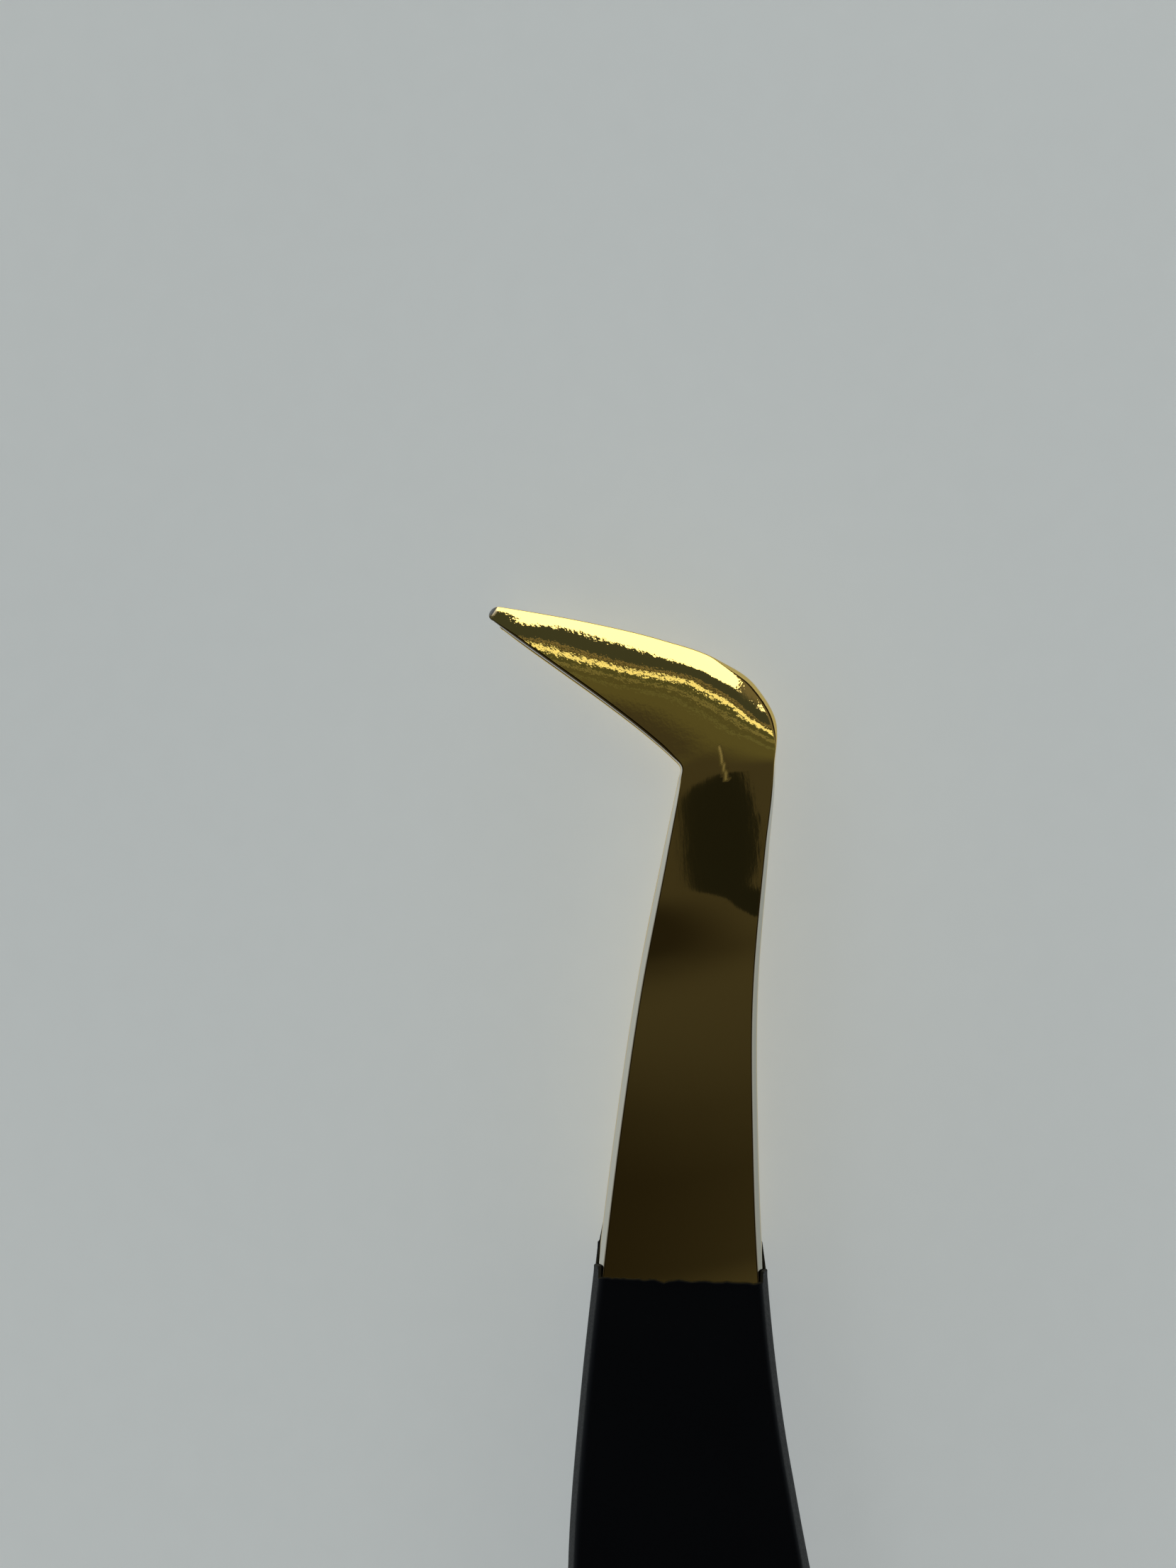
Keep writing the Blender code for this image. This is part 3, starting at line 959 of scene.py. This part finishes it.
def darken(tree, first, second, spot, colour):
    """Puts a dark oval with a crisp edge into the room, placed by the two runs."""
    centre, reach, level = spot
    runs = [
        add_node(
            tree,
            "ShaderNodeMapRange",
            {"Value": run, "From Min": middle, "From Max": middle + extent},
            clamp=False,
        ).outputs[0]
        for run, middle, extent in zip((first, second), centre, reach)
    ]
    offset = add_node(tree, "ShaderNodeCombineXYZ", {0: runs[0], 1: runs[1]})
    away = add_node(tree, "ShaderNodeVectorMath", {0: offset.outputs[0]}, operation="LENGTH")
    inside = add_node(
        tree,
        "ShaderNodeMapRange",
        {"Value": away.outputs["Value"], "From Min": 1.06, "From Max": 0.94},
        interpolation_type="SMOOTHSTEP",
    )
    return add_node(
        tree,
        "ShaderNodeMix",
        {"Factor": inside.outputs[0], "A": colour, "B": (*level, 1.0)},
        data_type="RGBA",
    ).outputs[2]


def build_room():
    """World that stands for a plain room: bands of brightness overhead, and a pale ring lower down."""
    world = bpy.data.worlds.new("studio_room")
    bpy.context.scene.world = world
    world.use_nodes = True
    tree = world.node_tree
    tree.nodes.clear()
    direction = add_node(tree, "ShaderNodeTexCoord").outputs["Generated"]
    parts = add_node(tree, "ShaderNodeSeparateXYZ", {0: direction})
    # Directions near the horizon and below it count as low ones, so that the runs stay finite.
    height = add_node(tree, "ShaderNodeMath", {0: parts.outputs[2], 1: 0.02}, operation="MAXIMUM").outputs[0]
    u = add_node(tree, "ShaderNodeMath", {0: parts.outputs[0], 1: height}, operation="DIVIDE").outputs[0]
    v = add_node(tree, "ShaderNodeMath", {0: parts.outputs[1], 1: height}, operation="DIVIDE").outputs[0]
    turned = add_node(tree, "ShaderNodeMath", {0: v, 1: ROOM_TURN[1]}, operation="MULTIPLY").outputs[0]
    towards = add_node(
        tree, "ShaderNodeMath", {0: u, 1: ROOM_TURN[0], 2: turned}, operation="MULTIPLY_ADD"
    ).outputs[0]
    colour = (*ROOM_OVER_HANDLE, 1.0)
    for run, steps in ((towards, ROOM_STEPS), (v, SIDE_STEPS)):
        for start, end, level in steps:
            factor = add_node(
                tree,
                "ShaderNodeMapRange",
                {"Value": run, "From Min": start, "From Max": end},
                interpolation_type="SMOOTHSTEP",
            )
            colour = add_node(
                tree,
                "ShaderNodeMix",
                {"Factor": factor.outputs[0], "A": colour, "B": (*level, 1.0)},
                data_type="RGBA",
            ).outputs[2]
    colour = darken(tree, u, v, DARK_OVER_NECK, colour)
    # The pale ring lies lower on the side away from the boot's point, so its centre is moved that way.
    shifted = add_node(tree, "ShaderNodeMath", {0: v, 1: 1.2}, operation="ADD").outputs[0]
    spread = add_node(tree, "ShaderNodeCombineXYZ", {0: u, 1: shifted})
    away = add_node(tree, "ShaderNodeVectorMath", {0: spread.outputs[0]}, operation="LENGTH")
    ring = add_node(
        tree,
        "ShaderNodeMapRange",
        {"Value": away.outputs["Value"], "From Min": 2.0, "From Max": 3.2},
        interpolation_type="SMOOTHSTEP",
    )
    colour = add_node(
        tree,
        "ShaderNodeMix",
        {"Factor": ring.outputs[0], "A": colour, "B": (0.5, 0.52, 0.53, 1.0)},
        data_type="RGBA",
    ).outputs[2]
    background = add_node(tree, "ShaderNodeBackground", {"Color": colour, "Strength": 1.0})
    add_node(tree, "ShaderNodeOutputWorld", {"Surface": background.outputs[0]})


FLOOR_HALF = 2.5
FLOOR_DROP = 0.00002  # the floor lies just under the object, so that the two share no plane


def build_stage():
    """Floor, room, window light and camera."""
    bpy.context.scene.view_settings.view_transform = "Standard"
    mesh = bpy.data.meshes.new("paper_floor")
    corners = [(x * FLOOR_HALF, y * FLOOR_HALF, 0.0) for x, y in ((-1, -1), (1, -1), (1, 1), (-1, 1))]
    mesh.from_pydata(corners, [], [(0, 1, 2, 3)])
    mesh.materials.append(pale_paper())
    floor = bpy.data.objects.new("paper_floor", mesh)
    floor.location.z = -FLOOR_DROP
    bpy.context.scene.collection.objects.link(floor)
    build_room()
    build_window()
    build_camera()


def build_window():
    """Window light, high beside the boot. It shows only in gloss, and the room lights what is matt."""
    settings = bpy.context.scene.tongs_window
    light = bpy.data.lights.new("window", "AREA")
    light.shape = "RECTANGLE"
    light.size = settings.length
    light.size_y = settings.width
    light.energy = settings.power
    lamp = bpy.data.objects.new("window", light)
    turn = Vector((*ROOM_TURN, 0.0))
    window = turn * settings.away + Vector((0.0, 0.0, settings.height))
    beside = Vector((-ROOM_TURN[1], ROOM_TURN[0], 0.0)) * settings.beside
    lamp.location = Vector(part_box("upper_arm")[1]) + window + beside
    lamp.rotation_euler = (-window).to_track_quat("-Z", "Y").to_euler()
    lamp.visible_diffuse = False
    bpy.context.scene.collection.objects.link(lamp)


PICTURE_TURN = math.atan(0.1)  # how far the tongs lean from the picture's upright


def build_camera():
    """Camera above the boot, looking down, with the handle towards the bottom of the picture."""
    settings = bpy.context.scene.tongs_camera
    low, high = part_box("upper_arm")
    up = Vector((math.cos(PICTURE_TURN), -math.sin(PICTURE_TURN), 0.0))
    right = Vector((-math.sin(PICTURE_TURN), -math.cos(PICTURE_TURN), 0.0))
    target = Vector((high.x - settings.behind_point, high.y - settings.inside_edge, settings.face_height))
    place = target + Vector((0.0, 0.0, settings.distance)) + right * settings.sideways
    back = (place - target).normalized()
    side = up.cross(back).normalized()
    upward = back.cross(side)
    data = bpy.data.cameras.new("camera")
    data.lens = settings.lens
    data.clip_start = 0.005
    data.clip_end = 20.0
    camera = bpy.data.objects.new("camera", data)
    camera.matrix_world = Matrix.Translation(place) @ Matrix((side, upward, back)).transposed().to_4x4()
    bpy.context.scene.collection.objects.link(camera)
    bpy.context.scene.camera = camera


class TongsFinishSettings(bpy.types.PropertyGroup):
    """Colours of the finishes."""

    plating: bpy.props.FloatVectorProperty(
        name="Plating",
        description="Gold nitride plating",
        subtype="COLOR",
        size=4,
        default=linear("#F1D27C"),
    )
    plating_warm: bpy.props.FloatVectorProperty(
        name="Warm plating",
        description="Warmer patches of plating",
        subtype="COLOR",
        size=4,
        default=linear("#EFCB6E"),
    )
    plating_flank: bpy.props.FloatVectorProperty(
        name="Flank plating",
        description="Thin plating on the flanks",
        subtype="COLOR",
        size=4,
        default=linear("#DCD6C4"),
    )
    # Painted shade: the back flanks are drawn darker olive-grey than the boot-side flanks.
    painted_shade_back_flank: bpy.props.FloatVectorProperty(
        name="Back flank shade",
        description="Back flanks darkened as painted shade",
        subtype="COLOR",
        size=4,
        default=linear("#9F9C84"),
    )
    # Painted shade: dark brown for the line along the grip's edges and the boot's side.
    painted_rim_shade_colour: bpy.props.FloatVectorProperty(
        name="Rim shade",
        description="Dark line painted as shade along the grip's edges and the boot's side",
        subtype="COLOR",
        size=4,
        default=linear("#4A3A18"),
    )
    bare_steel: bpy.props.FloatVectorProperty(
        name="Bare steel",
        description="Steel without plating",
        subtype="COLOR",
        size=4,
        default=linear("#8E8F90"),
    )
    oxide: bpy.props.FloatVectorProperty(
        name="Oxide",
        description="Dark bloom on the spacer",
        subtype="COLOR",
        size=4,
        default=linear("#55504C"),
    )
    coat: bpy.props.FloatVectorProperty(
        name="Coat",
        description="Black powder coat",
        subtype="COLOR",
        size=4,
        default=linear("#15171B"),
    )
    coat_light: bpy.props.FloatVectorProperty(
        name="Coat, thinner",
        description="Coat where it is thinner",
        subtype="COLOR",
        size=4,
        default=linear("#1B1D21"),
    )
    coat_edge: bpy.props.FloatVectorProperty(
        name="Coat edge",
        description="Film at the masked edge",
        subtype="COLOR",
        size=4,
        default=linear("#3C3620"),
    )
    paper: bpy.props.FloatVectorProperty(
        name="Floor",
        description="Pale paper floor",
        subtype="COLOR",
        size=4,
        default=linear("#D9DFDF"),
    )
    paper_glow: bpy.props.FloatProperty(
        name="Floor glow",
        description="Light that the backlit paper lets through",
        default=0.485,
        min=0.0,
    )


class TongsShapeSettings(bpy.types.PropertyGroup):
    """Sizes of the coat's wall and of the rounded edges."""

    arm_edge: bpy.props.FloatProperty(
        name="Arm edge",
        description="Radius of the outer edges of the arms",
        default=0.03 * MM,
        min=0.0,
        subtype="DISTANCE",
        unit="LENGTH",
    )
    coat_thickness: bpy.props.FloatProperty(
        name="Coat thickness",
        description="Wall of the powder coat",
        default=0.1 * MM,
        min=0.0,
        subtype="DISTANCE",
        unit="LENGTH",
    )
    coat_edge: bpy.props.FloatProperty(
        name="Coat edge",
        description="Radius to which the coat rounds the outer edges off",
        default=0.12 * MM,
        min=0.0,
        subtype="DISTANCE",
        unit="LENGTH",
    )


class TongsWindowSettings(bpy.types.PropertyGroup):
    """Size, strength and place of the window light."""

    length: bpy.props.FloatProperty(
        name="Length",
        description="Longer side of the window",
        default=0.4296,
        subtype="DISTANCE",
        unit="LENGTH",
    )
    width: bpy.props.FloatProperty(
        name="Width",
        description="Shorter side of the window",
        default=0.35,
        subtype="DISTANCE",
        unit="LENGTH",
    )
    power: bpy.props.FloatProperty(
        name="Power",
        description="Strength of the window light in watts",
        default=1.2,
        min=0.0,
    )
    height: bpy.props.FloatProperty(
        name="Height",
        description="How high the window stands over the boot",
        default=0.44,
        subtype="DISTANCE",
        unit="LENGTH",
    )
    away: bpy.props.FloatProperty(
        name="Away",
        description="How far the window stands from the boot, in plan",
        default=0.41,
        subtype="DISTANCE",
        unit="LENGTH",
    )
    beside: bpy.props.FloatProperty(
        name="Beside",
        description="How far the window is moved along its own length",
        default=0.1641,
        subtype="DISTANCE",
        unit="LENGTH",
    )


class TongsCameraSettings(bpy.types.PropertyGroup):
    """Where the camera stands."""

    lens: bpy.props.FloatProperty(
        name="Lens",
        description="Focal length",
        default=74.2,
        subtype="DISTANCE_CAMERA",
        unit="CAMERA",
    )
    distance: bpy.props.FloatProperty(
        name="Distance",
        description="Height over the aimed place",
        default=0.12,
        subtype="DISTANCE",
        unit="LENGTH",
    )
    behind_point: bpy.props.FloatProperty(
        name="Behind the point",
        description="Aimed place, back from the point",
        default=0.006885,
        subtype="DISTANCE",
    )
    inside_edge: bpy.props.FloatProperty(
        name="Inside the edge",
        description="Aimed place, in from the grip's edge",
        default=0.004289,
        subtype="DISTANCE",
    )
    face_height: bpy.props.FloatProperty(
        name="Face height",
        description="Height of the aimed place",
        default=0.0095,
        subtype="DISTANCE",
        unit="LENGTH",
    )
    sideways: bpy.props.FloatProperty(
        name="Sideways",
        description="How far the camera stands to the right",
        default=0.0031,
        subtype="DISTANCE",
    )


def finish_piece(obj, node):
    """Hides the imported part of this node and bakes the piece's placement into its mesh."""
    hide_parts(node)
    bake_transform(obj)


class TONGS_OT_arms(bpy.types.Operator):
    """Makes the two plated arms"""

    bl_idname = "tongs.arms"
    bl_label = "Plated arms"

    def execute(self, context):
        plating = nitride_plated_steel()
        for side, body in ((1, "upper_arm"), (-1, "lower_arm")):
            arm = build_arm(f"plated_{body}", side, plating)
            finish_piece(arm, body)
        return {"FINISHED"}


class TONGS_OT_coats(bpy.types.Operator):
    """Makes the two powder coats on the grips"""

    bl_idname = "tongs.coats"
    bl_label = "Powder coats"

    def execute(self, context):
        materials = [black_powder_coat(), masked_coat_edge()]
        for side, body, node in ((1, "upper_arm", "upper_coat"), (-1, "lower_arm", "lower_coat")):
            coat = build_coat(f"powder_{node}", side, materials)
            finish_piece(coat, node)
        return {"FINISHED"}


class TONGS_OT_spacer(bpy.types.Operator):
    """Makes the spacer between the two tails"""

    bl_idname = "tongs.spacer"
    bl_label = "Tail spacer"

    def execute(self, context):
        spacer = build_spacer(blanked_spacer_steel())
        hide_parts("tail_spacer")
        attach(spacer, "tail")
        return {"FINISHED"}


class TONGS_OT_stage(bpy.types.Operator):
    """Makes the floor, the room, the window light and the camera"""

    bl_idname = "tongs.stage"
    bl_label = "Stage"

    def execute(self, context):
        build_stage()
        return {"FINISHED"}


class TONGS_PT_pieces(bpy.types.Panel):
    """Lists the pieces in the sidebar"""

    bl_idname = "TONGS_PT_pieces"
    bl_label = "Stamp tongs"
    bl_space_type = "VIEW_3D"
    bl_region_type = "UI"
    bl_category = "Tongs"

    def draw(self, context):
        for operator in OPERATORS:
            self.layout.operator(operator.bl_idname)


OPERATORS = (TONGS_OT_arms, TONGS_OT_coats, TONGS_OT_spacer, TONGS_OT_stage)
SETTINGS = (TongsFinishSettings, TongsShapeSettings, TongsWindowSettings, TongsCameraSettings)
CLASSES = (*SETTINGS, *OPERATORS, TONGS_PT_pieces)


def register():
    for cls in CLASSES:
        bpy.utils.register_class(cls)
    bpy.types.Scene.tongs_finish = bpy.props.PointerProperty(type=TongsFinishSettings)
    bpy.types.Scene.tongs_shape = bpy.props.PointerProperty(type=TongsShapeSettings)
    bpy.types.Scene.tongs_window = bpy.props.PointerProperty(type=TongsWindowSettings)
    bpy.types.Scene.tongs_camera = bpy.props.PointerProperty(type=TongsCameraSettings)


def unregister():
    del bpy.types.Scene.tongs_camera
    del bpy.types.Scene.tongs_window
    del bpy.types.Scene.tongs_shape
    del bpy.types.Scene.tongs_finish
    for cls in reversed(CLASSES):
        bpy.utils.unregister_class(cls)


def main():
    register()
    bpy.ops.tongs.arms()
    bpy.ops.tongs.coats()
    bpy.ops.tongs.spacer()
    bpy.ops.tongs.stage()


if __name__ == "__main__":
    main()
